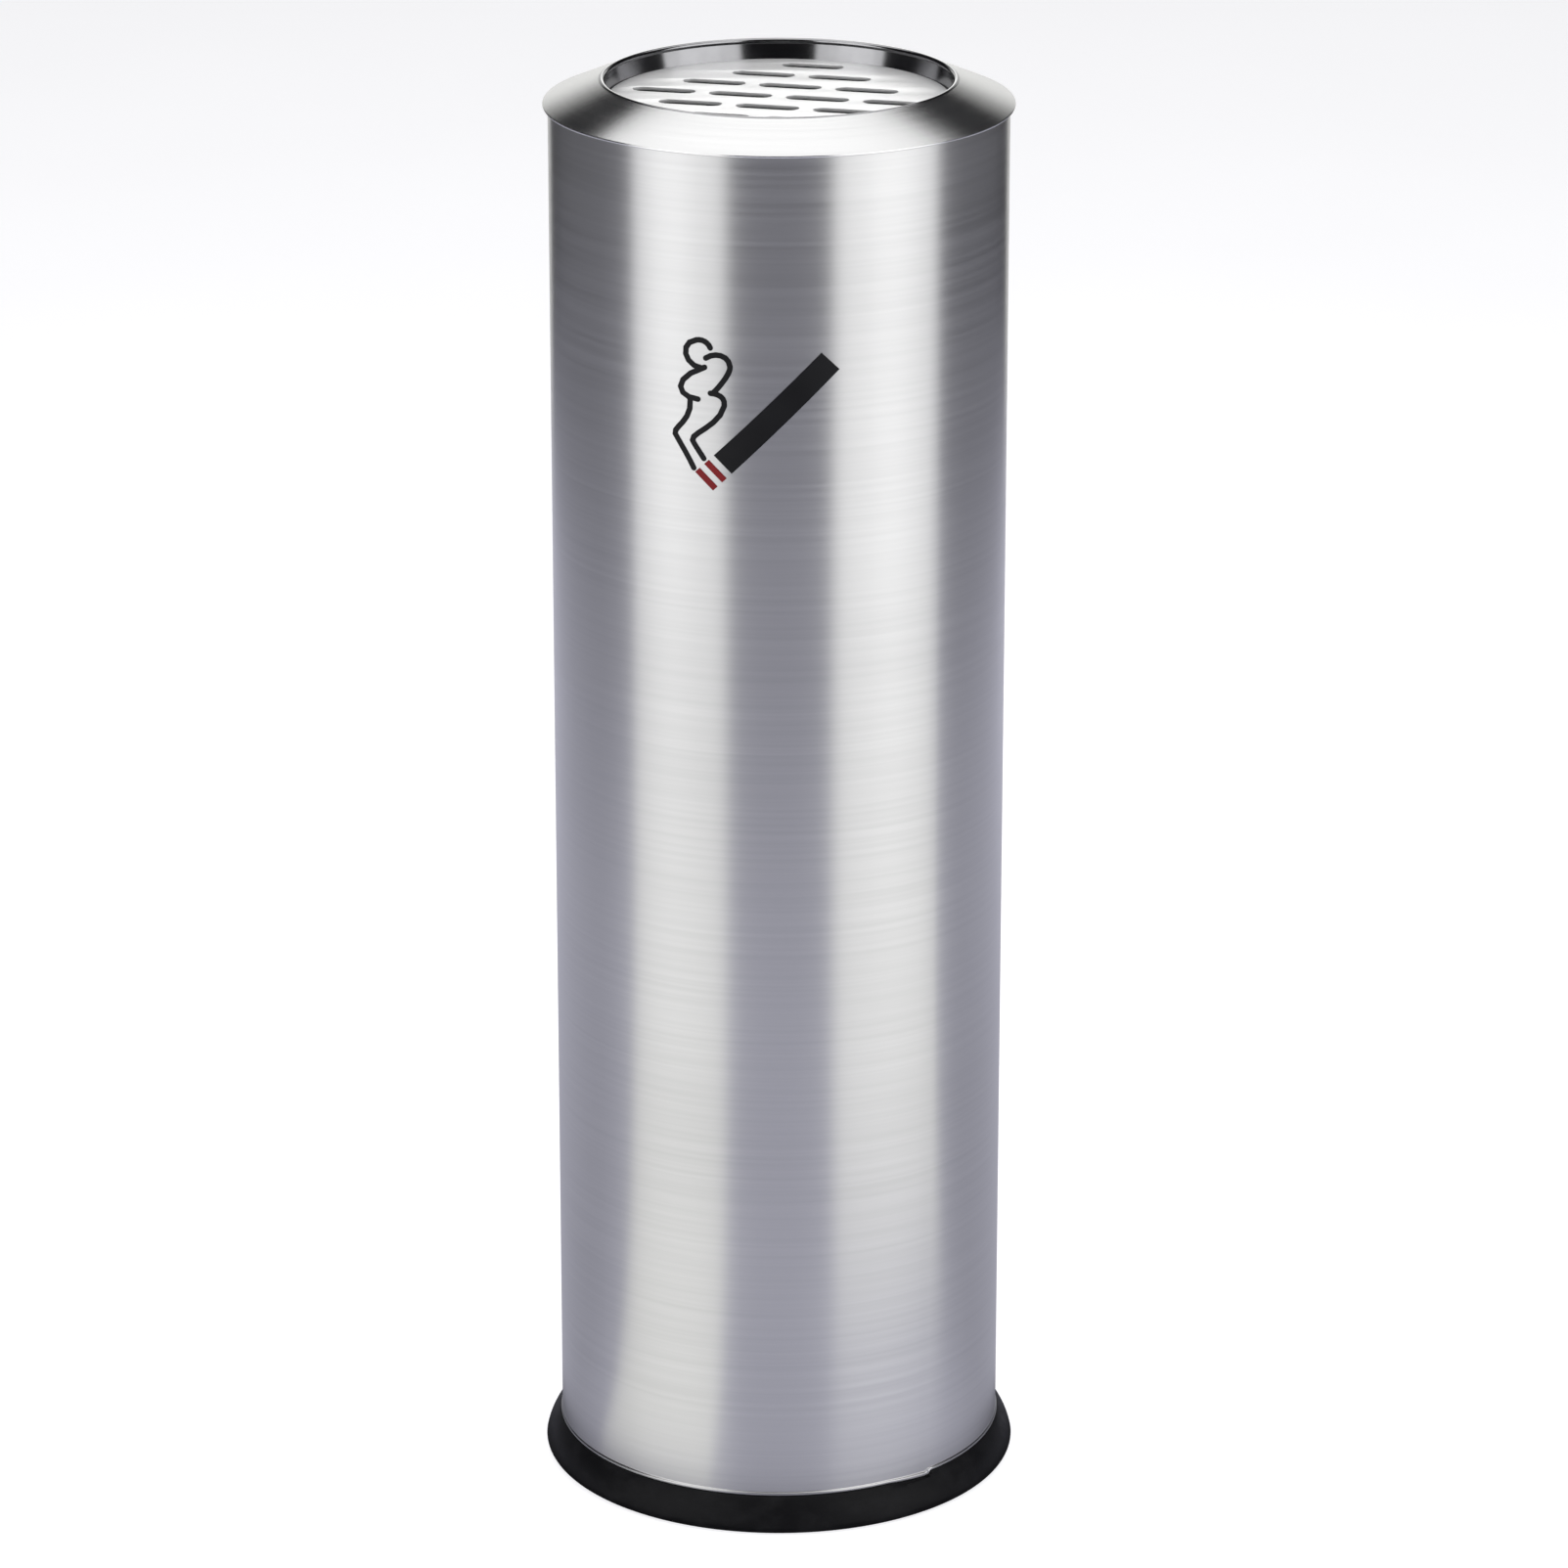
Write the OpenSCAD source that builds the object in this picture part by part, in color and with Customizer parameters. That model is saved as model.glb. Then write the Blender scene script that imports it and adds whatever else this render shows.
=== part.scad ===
// Free-standing ashtray bin: a brushed steel cylinder on a black base ring, with a
// lift-off conical lid, a slotted grate, and a galvanised bucket with a bail inside.
// Millimetres, +Z up, origin on the floor under the middle of the bin. The front is -Y.

/* [Overall] */
// Height from the floor to the lip of the lid
total_h = 610; // [480:5:760]
// Outer diameter of the body
body_d = 190; // [184:1:220]
// Thickness of the body's sheet
sheet_t = 0.8; // [0.6:0.1:1.2]

/* [Base] */
// Height of the shoulder that carries the body
shoulder_h = 15.4; // [12:0.2:20]
// How far the base ring stands out from the body at its widest
base_out = 7; // [5:0.5:10]
// Number of screws between the base plate and the ring
screw_count = 6; // [4:1:8]
// Angle of the body's seam to the right of the front
seam_angle = 42; // [20:1:70]
// How far the body's lower edge dips at the seam
seam_dip = 2; // [0.5:0.5:3]

/* [Lid] */
// Height of the lid from its rim to its lip
lid_h = 11.2; // [10:0.2:16]
// How far the lid's rim stands out from the body
lid_over = 2.2; // [1:0.2:4]
// Diameter of the opening inside the lip
opening_d = 143.4; // [136:0.2:150]
// Depth of the grate's face below the lip
grate_drop = 8.4; // [6:0.2:9]
// Depth of the spigot that locates the lid in the body
spigot_h = 18; // [12:1:24]

/* [Grate] */
// Thickness of the grate
grate_t = 1.5; // [1:0.1:2]
// Length of one slot
slot_l = 26.5; // [20:0.5:28]
// Width of one slot
slot_w = 8; // [4:0.5:10]
// Distance between slots in one row
slot_pitch = 32.5; // [30:0.5:34]
// Distance between rows
row_pitch = 19.4; // [14:0.2:20]
// Slots in the longest row
slots_mid = 4; // [2:1:4]
// Slant of the rows, clockwise seen from above
slot_slant = 14; // [0:1:45]

/* [Bucket] */
// Outer diameter of the bucket's wall
bucket_d = 168; // [160:1:170]
// Thickness of the bucket's sheet
bucket_t = 0.8; // [0.6:0.1:1]
// Distance from the lip of the lid down to the bail's pivot
pivot_drop = 115; // [105:1:150]
// Diameter of the bail's wire
bail_wire_d = 4; // [3:0.5:4.5]

/* [Pictogram] */
// Distance from the lip of the lid down to the middle of the bar
mark_drop = 117; // [100:1:180]
// Length of the bar
bar_l = 61.4; // [40:0.2:70]
// Width of the bar
bar_w = 10.2; // [6:0.2:14]
// Thickness of the film
film_t = 0.2; // [0.15:0.05:0.3]

/* [Hidden] */
$fn = 128;

// Gaps: between pieces that lift apart, and round the bail's pins
lift_gap = 0.3;
pin_gap = 0.05;

// Body
body_r = body_d / 2;
body_in_r = body_r - sheet_t;
rim_z = total_h - lid_h;
body_top_z = rim_z - lift_gap;
hem_r = 0.6;
dip_run = 27;
dip_gap = 0.1;

// Top hoop inside the body
hoop_t = 1;
hoop_in_r = body_r - 4.4;
hoop_h = 23;

// Base ring
ring_r = body_r + base_out;
toe_r = 3.2;
shoulder_out = 1;
flank_bulge = 0.9;
foot_in_r = body_r - 2;
flange_in_r = body_r - 15;
flange_z = 3;
plate_z = 8;
plug_t = 2.5;
plug_h = 18;
plug_r = body_in_r - pin_gap;
plug_in_r = plug_r - plug_t;
plate_t = 1.2;
plate_gap = 0.1;
screw_pcd_r = body_r - 6.8;
screw_r = 2;
screw_clear = 0.2;
screw_head_r = 3.6;
screw_head_h = 2;
screw_tip_z = plate_z + plate_t + 2.4;

// Lid
lid_r = body_r + lid_over;
lid_t = 1;
rim_edge_h = 0.9;
hem_in_r = body_r - 3.8;
opening_r = opening_d / 2;
bead_r = 1.3;
bead_c_r = opening_r + bead_r;
bead_z = total_h - bead_r;
bead_steps = 12;
bead_tail = 1;
cone_in_r = bead_c_r + bead_tail;
cone_top_z = total_h - 0.5;
cone_slope = (cone_top_z - rim_z - rim_edge_h) / (lid_r - cone_in_r);
cone_drop = lid_t * sqrt(1 + cone_slope * cone_slope);
collar_t = 0.8;
collar_draft = 0.8;
collar_foot_r = opening_r - collar_draft;
grate_z = total_h - grate_drop;
seat_z = grate_z - grate_t - 0.2;
seat_w = 5;
spigot_r = hoop_in_r - 0.6;
spigot_t = 0.8;
hem_t = 0.8;

// Grate
grate_r = collar_foot_r - 0.5;

// Bucket
bucket_r = bucket_d / 2;
bucket_in_r = bucket_r - bucket_t;
bucket_z = plate_z + plate_t + lift_gap;
curl_r = 2.5;
curl_c_r = bucket_r + curl_r - 0.5;
core_r = curl_r - bucket_t;
bail_r = curl_c_r + 0.5;
bail_wire_r = bail_wire_d / 2;
pivot_z = total_h - pivot_drop;
curl_z = pivot_z - bail_wire_r - lift_gap - curl_r;
floor_z = bucket_z + 4.5;
foot_h = 12;
foot_t = 1;

// Ears of the bail
ear_t = 1.6;
ear_r = bucket_in_r - ear_t;
ear_w = 22;
ear_h = 34;
ear_eye_r = 7;
ear_neck_h = 12;
rivet_z = pivot_z - 24;
rivet_y = 6;
rivet_r = 2;
rivet_head_r = 3.6;
rivet_head_h = 1.4;
rivet_sag = 0.6;
drill_h = 12;
pin_in_r = ear_r - 2.6;
pin_head_r = 3;
pin_head_t = 1;

// Pictogram
mark_z = total_h - mark_drop;
mark_x = -1;
stroke = 2.3;
stripe_t = 2.6;
stripe_pitch = 5.2;
stripe_gap = 4.2;
smoke_scale = 0.965;
curve_steps = 6;
cap_steps = 6;

// Lines of the smoke, each a chain of cubic curves, [x, z] from the middle of the bar before scaling
smoke = [
    [
        [[-35.5, -25], [-38, -20], [-41.5, -15], [-44, -11]],
        [[-44, -11], [-45, -8], [-36, -5], [-37, 5]]
    ],
    [[[-33.5, 5], [-43, 5], [-46, 13], [-30.5, 19]]],
    [
        [[-31.5, 18.5], [-40, 19], [-42, 29], [-34, 30.5]],
        [[-34, 30.5], [-31.5, 31], [-29, 30], [-28, 27.5]]
    ],
    [
        [[-31, -20.5], [-33, -17.5], [-35, -15], [-36, -13]],
        [[-36, -13], [-37, -10], [-24, -6], [-22, 3]],
        [[-22, 3], [-21.5, 7], [-25, 8], [-28, 8]]
    ],
    [
        [[-27, 8], [-23, 12], [-19, 18], [-19.5, 20]],
        [[-19.5, 20], [-20, 25], [-26, 26], [-30, 23]]
    ]
];

steel = "#c4c5c9";
pale_steel = "#e4e4e6";
zinc = "#a9adb0";
black = "#1b1b1d";
red = "#a3181f";

// Places children at the seam, looking outwards along +X
module at_seam() {
    rotate([0, 0, seam_angle - 90])
        children();
}

// Wedge below the body's lower edge at the seam, between two radii
module dip_wedge(in_r, out_r, gap) {
    intersection() {
        difference() {
            cylinder(r = out_r, h = 2 * shoulder_h);
            cylinder(r = in_r, h = 2 * shoulder_h);
        }
        at_seam()
            rotate([90, 0, 90])
                linear_extrude(2 * body_r)
                    polygon([
                        [gap, shoulder_h + hem_r],
                        [gap, shoulder_h - seam_dip - gap],
                        [-dip_run, shoulder_h + hem_r]
                    ]);
    }
}

module body_shell() {
    color(steel) {
        rotate_extrude() {
            translate([body_in_r, shoulder_h])
                square([sheet_t, body_top_z - shoulder_h]);
            translate([body_r, shoulder_h + hem_r])
                circle(r = hem_r, $fn = 24);
        }
        dip_wedge(body_in_r, body_r + hem_r, 0);
    }
}

module top_hoop() {
    color(steel)
        rotate_extrude() {
            translate([body_in_r - hoop_t, body_top_z - hoop_h])
                square([hoop_t, hoop_h]);
            translate([hoop_in_r, body_top_z - hoop_t])
                square([body_in_r - hoop_in_r, hoop_t]);
        }
}

// Points of an arc between two points, bulging to the left of the way from a to b
function arc_points(a, b, bulge, steps) =
    let (
        half = norm(b - a) / 2,
        r = (half * half + bulge * bulge) / (2 * bulge),
        along = (b - a) / (2 * half),
        side = [-along[1], along[0]],
        c = (a + b) / 2 - side * (r - bulge),
        sweep = asin(half / r)
    )
    [for (i = [0:steps])
        let (t = sweep * (2 * i / steps - 1))
        c + r * (sin(t) * along + cos(t) * side)];

// Points of the ring's rounded toe, from the floor up to its widest place
function toe_points(steps) =
    [for (i = [0:steps])
        let (t = -90 + 90 * i / steps)
        [ring_r - toe_r + toe_r * cos(t), toe_r + toe_r * sin(t)]];

module base_ring() {
    shoulder = [body_r + shoulder_out, shoulder_h];
    widest = [ring_r, toe_r];
    flank = arc_points(shoulder, widest, flank_bulge, 12);
    color(black)
        difference() {
            rotate_extrude()
                polygon(concat(
                    [[flange_in_r, flange_z], [foot_in_r, flange_z], [foot_in_r, 0]],
                    toe_points(8),
                    [for (i = [len(flank) - 2:-1:0]) flank[i]],
                    [
                        [plug_r, shoulder_h],
                        [plug_r, shoulder_h + plug_h],
                        [plug_in_r, shoulder_h + plug_h],
                        [plug_in_r, plate_z],
                        [flange_in_r, plate_z]
                    ]
                ));
            dip_wedge(plug_r, ring_r, dip_gap);
            at_screws()
                cylinder(r = screw_r + screw_clear, h = 4 * plate_z, center = true);
        }
}

module at_screws() {
    for (i = [0:screw_count - 1])
        rotate([0, 0, (i + 0.5) * 360 / screw_count])
            translate([screw_pcd_r, 0, 0])
                children();
}

module base_plate() {
    color(zinc)
        difference() {
            translate([0, 0, plate_z])
                cylinder(r = plug_in_r - plate_gap, h = plate_t);
            at_screws()
                cylinder(r = screw_r + pin_gap, h = 4 * plate_z, center = true);
        }
}

module base_screws() {
    color(zinc)
        at_screws() {
            translate([0, 0, flange_z - screw_head_h])
                cylinder(r = screw_head_r, h = screw_head_h);
            translate([0, 0, flange_z - screw_head_h / 2])
                cylinder(r = screw_r, h = screw_tip_z - flange_z + screw_head_h / 2);
        }
}

// Wraps a flat [x, z] drawing onto the body, as seen from the front
function wrap(p) = [body_r * sin((mark_x + p[0]) / body_r * 180 / PI), mark_z + p[1]];

// Point of a cubic curve with control points p, for t from 0 to 1
function cubic(p, t) =
    pow(1 - t, 3) * p[0]
    + 3 * t * pow(1 - t, 2) * p[1]
    + 3 * t * t * (1 - t) * p[2]
    + pow(t, 3) * p[3];

// Points along a chain of curves, from its first point to its last
function centreline(chain) =
    [for (c = [0:len(chain) - 1])
        for (i = [c == 0 ? 0 : 1:curve_steps])
            cubic(chain[c], i / curve_steps)];

function unit(v) = v / norm(v);
function leftwards(v) = [-v[1], v[0]];

// Step from point i of a line to the left edge of a stroke one unit wide on each side
function mitre(line, i) =
    let (
        last = len(line) - 1,
        before = unit(line[max(i, 1)] - line[max(i, 1) - 1]),
        after = unit(line[min(i + 1, last)] - line[min(i + 1, last) - 1]),
        middle = unit(before + after)
    )
    leftwards(middle) / (middle * before);

// Inner points of the half circle that closes a stroke at p, from p + side round to p - side
function cap_points(p, side) =
    [for (i = [1:cap_steps - 1])
        let (t = 180 * i / cap_steps)
        p + cos(t) * side - sin(t) * leftwards(side)];

// A drawn line of even width along a chain of curves, with round ends
module brush_line(chain) {
    line = centreline(chain) * smoke_scale;
    last = len(line) - 1;
    sides = [for (i = [0:last]) mitre(line, i) * stroke / 2];
    outline = concat(
        [for (i = [0:last]) line[i] + sides[i]],
        cap_points(line[last], sides[last]),
        [for (i = [last:-1:0]) line[i] - sides[i]],
        cap_points(line[0], -sides[0])
    );
    polygon([for (p = outline) wrap(p)]);
}

// Film on the front of the body in the shape of the flat drawing given as children
module film() {
    intersection() {
        translate([0, 0, mark_z - body_r])
            difference() {
                cylinder(r = body_r + film_t, h = body_d);
                translate([0, 0, -1])
                    cylinder(r = body_r, h = body_d + 2);
            }
        rotate([90, 0, 0])
            linear_extrude(body_d)
                children();
    }
}

// Places children on the bar's axis, which rises to the right
module on_bar() {
    translate(wrap([0, 0]))
        rotate(45)
            children();
}

module pictogram_bar() {
    color(black)
        film()
            on_bar()
                square([bar_l, bar_w], center = true);
}

module pictogram_smoke() {
    color(black)
        film()
            for (chain = smoke)
                brush_line(chain);
}

module pictogram_ember() {
    color(red)
        film()
            on_bar()
                for (i = [0:1])
                    translate([-bar_l / 2 - stripe_gap - i * stripe_pitch, 0])
                        square([stripe_t, bar_w], center = true);
}

// Underside of the cone at radius r
function cone_under(r) = rim_z + rim_edge_h - cone_drop + (lid_r - r) * cone_slope;

module lid_cone() {
    hem_top_z = rim_z + hem_t;
    hem_out_r = lid_r - (hem_top_z - cone_under(lid_r)) / cone_slope;
    color(pale_steel)
        rotate_extrude()
            polygon([
                [lid_r, rim_z],
                [lid_r, rim_z + rim_edge_h],
                [cone_in_r, cone_top_z],
                [cone_in_r, cone_under(cone_in_r)],
                [hem_out_r, hem_top_z],
                [hem_in_r, hem_top_z],
                [hem_in_r, rim_z]
            ]);
}

// Points on the collar's bead, between two angles
function bead_arc(from, to) =
    [for (i = [0:bead_steps]) let (a = from + (to - from) * i / bead_steps)
        [bead_c_r + bead_r * cos(a), bead_z + bead_r * sin(a)]];

// One outline: the bead, flat where it meets the cone, then the wall and the seat under the grate
module lid_collar() {
    flat_a = acos((cone_in_r - bead_c_r) / bead_r);
    wall_a = 180 + acos((bead_r - collar_t) / bead_r);
    color(steel)
        rotate_extrude()
            polygon(concat(
                bead_arc(flat_a, 180),
                [
                    [collar_foot_r, seat_z],
                    [collar_foot_r - seat_w, seat_z],
                    [collar_foot_r - seat_w, seat_z - collar_t],
                    [collar_foot_r + collar_t, seat_z - collar_t],
                    [collar_foot_r + collar_t, seat_z]
                ],
                bead_arc(wall_a, 360 - flat_a)
            ));
}

module lid_spigot() {
    flange_out_r = lid_r - (rim_z + hem_t + spigot_t - cone_under(lid_r)) / cone_slope;
    color(steel)
        rotate_extrude() {
            translate([spigot_r - spigot_t, rim_z - spigot_h])
                square([spigot_t, spigot_h + hem_t + spigot_t]);
            translate([spigot_r - spigot_t, rim_z + hem_t])
                square([flange_out_r - spigot_r + spigot_t, spigot_t]);
        }
}

module slot() {
    square([slot_l - slot_w, slot_w], center = true);
    for (side = [-1, 1])
        translate([side * (slot_l - slot_w) / 2, 0])
            circle(d = slot_w, $fn = 32);
}

module grate() {
    color(pale_steel)
        translate([0, 0, grate_z - grate_t])
            linear_extrude(grate_t)
                difference() {
                    circle(r = grate_r);
                    rotate(-slot_slant)
                        for (row = [1 - slots_mid:slots_mid - 1])
                            let (count = slots_mid - abs(row))
                                for (i = [0:count - 1])
                                    translate([(i - (count - 1) / 2) * slot_pitch, row * row_pitch])
                                        slot();
                }
}

module at_rivets() {
    for (side = [-1, 1])
        for (y = [-rivet_y, rivet_y])
            translate([side * (ear_r - rivet_sag + bucket_r) / 2, y, rivet_z])
                rotate([0, 90, 0])
                    children();
}

module bucket_wall() {
    color(zinc)
        difference() {
            rotate_extrude() {
                translate([bucket_in_r, bucket_z])
                    square([bucket_t, curl_z - bucket_z]);
                translate([curl_c_r, curl_z])
                    difference() {
                        circle(r = curl_r, $fn = 48);
                        circle(r = core_r, $fn = 48);
                    }
            }
            at_rivets()
                cylinder(r = rivet_r + pin_gap, h = drill_h, center = true, $fn = 32);
        }
}

module rim_wire() {
    color(zinc)
        rotate_extrude()
            translate([curl_c_r, curl_z])
                circle(r = core_r - pin_gap, $fn = 48);
}

module bucket_bottom() {
    color(zinc) {
        translate([0, 0, floor_z])
            cylinder(r = bucket_in_r, h = bucket_t);
        rotate_extrude()
            translate([bucket_in_r - bucket_t, bucket_z + lift_gap])
                square([bucket_t, floor_z - bucket_z - lift_gap]);
    }
}

module bucket_foot() {
    color(zinc)
        rotate_extrude()
            translate([bucket_r, bucket_z])
                square([foot_t, foot_h]);
}

// An ear hugs the inside of the wall on the +X side and stands above the rim
module bail_ear() {
    color(zinc)
        difference() {
            intersection() {
                translate([0, 0, pivot_z - ear_h])
                    difference() {
                        cylinder(r = bucket_in_r, h = ear_h + ear_eye_r);
                        translate([0, 0, -1])
                            cylinder(r = ear_r, h = ear_h + ear_eye_r + 2);
                    }
                rotate([90, 0, 90])
                    linear_extrude(body_r) {
                        translate([0, pivot_z])
                            circle(r = ear_eye_r, $fn = 48);
                        translate([-ear_eye_r, pivot_z - ear_neck_h])
                            square([2 * ear_eye_r, ear_neck_h]);
                        translate([-ear_w / 2, pivot_z - ear_h])
                            square([ear_w, ear_h - ear_neck_h]);
                    }
            }
            translate([0, 0, pivot_z])
                rotate([0, 90, 0])
                    cylinder(r = bail_wire_r + pin_gap, h = body_r, $fn = 48);
            at_rivets()
                cylinder(r = rivet_r + pin_gap, h = drill_h, center = true, $fn = 32);
        }
}

module bail_ear_right() {
    bail_ear();
}

module bail_ear_left() {
    mirror([1, 0, 0])
        bail_ear();
}

module ear_rivets() {
    shank = bucket_r - ear_r + rivet_sag;
    color(zinc)
        at_rivets() {
            cylinder(r = rivet_r, h = shank, center = true, $fn = 32);
            for (side = [-1, 1])
                translate([0, 0, side * (shank + rivet_head_h) / 2])
                    cylinder(r = rivet_head_r, h = rivet_head_h, center = true, $fn = 32);
        }
}

module bail_wire() {
    color(zinc)
        translate([0, 0, pivot_z]) {
            rotate_extrude(angle = 180)
                translate([bail_r, 0])
                    circle(r = bail_wire_r, $fn = 48);
            for (side = [-1, 1])
                translate([side * bail_r, 0, 0]) {
                    sphere(r = bail_wire_r, $fn = 48);
                    rotate([0, -side * 90, 0]) {
                        cylinder(r = bail_wire_r, h = bail_r - pin_in_r, $fn = 48);
                        translate([0, 0, bail_r - pin_in_r])
                            cylinder(r = pin_head_r, h = pin_head_t, $fn = 48);
                    }
                }
        }
}

body_shell();
top_hoop();
base_ring();
base_plate();
base_screws();
pictogram_bar();
pictogram_smoke();
pictogram_ember();
lid_cone();
lid_collar();
lid_spigot();
grate();
bucket_wall();
bucket_bottom();
bucket_foot();
rim_wire();
bail_ear_left();
bail_ear_right();
ear_rivets();
bail_wire();
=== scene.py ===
"""Ashtray bin: the looks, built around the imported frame. All lengths are in metres unless a name says mm."""
import math

import bmesh
import bpy
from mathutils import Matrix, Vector


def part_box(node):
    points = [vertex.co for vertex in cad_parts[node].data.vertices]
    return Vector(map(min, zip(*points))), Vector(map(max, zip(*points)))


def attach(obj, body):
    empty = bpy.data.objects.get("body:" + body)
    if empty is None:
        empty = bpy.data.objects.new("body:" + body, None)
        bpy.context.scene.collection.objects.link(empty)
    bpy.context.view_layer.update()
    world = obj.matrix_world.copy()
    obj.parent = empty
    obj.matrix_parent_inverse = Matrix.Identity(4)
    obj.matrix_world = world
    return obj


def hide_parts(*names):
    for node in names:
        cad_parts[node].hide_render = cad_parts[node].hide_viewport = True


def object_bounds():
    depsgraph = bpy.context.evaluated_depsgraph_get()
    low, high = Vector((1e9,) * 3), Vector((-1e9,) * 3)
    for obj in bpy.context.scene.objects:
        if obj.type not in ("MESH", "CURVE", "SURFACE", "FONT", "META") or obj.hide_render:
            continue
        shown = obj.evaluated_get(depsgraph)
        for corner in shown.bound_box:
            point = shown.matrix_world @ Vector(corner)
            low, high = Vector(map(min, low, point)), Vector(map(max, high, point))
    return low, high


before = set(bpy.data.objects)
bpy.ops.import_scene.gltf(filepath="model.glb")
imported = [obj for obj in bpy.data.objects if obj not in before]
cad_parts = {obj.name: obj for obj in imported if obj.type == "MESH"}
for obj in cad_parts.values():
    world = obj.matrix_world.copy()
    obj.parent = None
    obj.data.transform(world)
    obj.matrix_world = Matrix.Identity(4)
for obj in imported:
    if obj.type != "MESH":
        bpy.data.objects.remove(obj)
cad_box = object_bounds()
MM = 0.001


# ---------------------------------------------------------------- sizes, read from the frame

def node_low(node):
    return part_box(node)[0]


def node_high(node):
    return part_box(node)[1]


def outer_radius(node):
    """Largest radius of a round node about the bin's axis."""
    return (node_high(node).x - node_low(node).x) / 2


CENTRE = (cad_box[0] + cad_box[1]) / 2
FLOOR_Z = cad_box[0].z
TOP_Z = cad_box[1].z

HEM_R = 0.6 * MM
SHELL_R = outer_radius("body_shell") - HEM_R
SHELL_T = 0.8 * MM
SHELL_LOW = node_low("body_shell").z
SHELL_TOP = node_high("body_shell").z
SEAM_DIP = 2.0 * MM
SHOULDER_Z = SHELL_LOW + SEAM_DIP
FRONT_DEG = -90  # the bin's front faces -Y
SEAM_ANGLE = math.radians(FRONT_DEG + 42)
DIP_ANGLE = math.radians(12.7)  # how far round the lower edge the dip runs

RING_R = outer_radius("base_ring")
RING_TOP = node_high("base_ring").z

RIM_R = outer_radius("lid_cone")
RIM_Z = node_low("lid_cone").z
CONE_TOP = node_high("lid_cone").z
COLLAR_OUT_R = outer_radius("lid_collar")
COLLAR_LOW = node_low("lid_collar").z
BEAD_R = 1.3 * MM
BEAD_C = COLLAR_OUT_R - 1 * MM
LIP_R = BEAD_C - BEAD_R
GRATE_R = outer_radius("grate")
COLLAR_FOOT_R = GRATE_R + 0.5 * MM
GRATE_LOW = node_low("grate").z
GRATE_TOP = node_high("grate").z

BUCKET_LOW = node_low("bucket_wall").z
CURL_R = 2.5 * MM
CURL_OUT_R = outer_radius("bucket_wall")
CURL_Z = node_high("bucket_wall").z - CURL_R
BUCKET_R = CURL_OUT_R - 2 * CURL_R + 0.5 * MM
BUCKET_T = 0.8 * MM


# ---------------------------------------------------------------- material tools

MIX_A, MIX_B = 6, 7  # the colour sockets of a Mix node, which share their names with others


def linear(hex_colour):
    """sRGB hex to the linear colour that the shader takes."""
    parts = [int(hex_colour[i:i + 2], 16) / 255 for i in (1, 3, 5)]
    return [c / 12.92 if c <= 0.04045 else ((c + 0.055) / 1.055) ** 2.4 for c in parts] + [1.0]


def per_metre(*sizes_mm):
    """How many features of each size fit in a metre."""
    return [1 / (size * MM) for size in sizes_mm]


def add_node(tree, kind, inputs=None, **settings):
    """Adds a node, sets its settings, then fills its inputs. A value links if it is a socket or a node, which
    stands for its first output in use, and a hex colour is turned to linear."""
    made = tree.nodes.new(kind)
    for name, value in settings.items():
        setattr(made, name, value)
    for name, value in (inputs or {}).items():
        if isinstance(value, bpy.types.Node):
            value = next(output for output in value.outputs if output.enabled)
        if isinstance(value, bpy.types.NodeSocket):
            tree.links.new(value, made.inputs[name])
        else:
            made.inputs[name].default_value = linear(value) if isinstance(value, str) else value
    return made


def new_material(name):
    """An empty node material, with the place on the object in metres."""
    material = bpy.data.materials.new(name)
    material.use_nodes = True
    tree = material.node_tree
    tree.nodes.clear()
    return material, tree, add_node(tree, "ShaderNodeTexCoord").outputs["Object"]


# ---------------------------------------------------------------- materials

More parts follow.
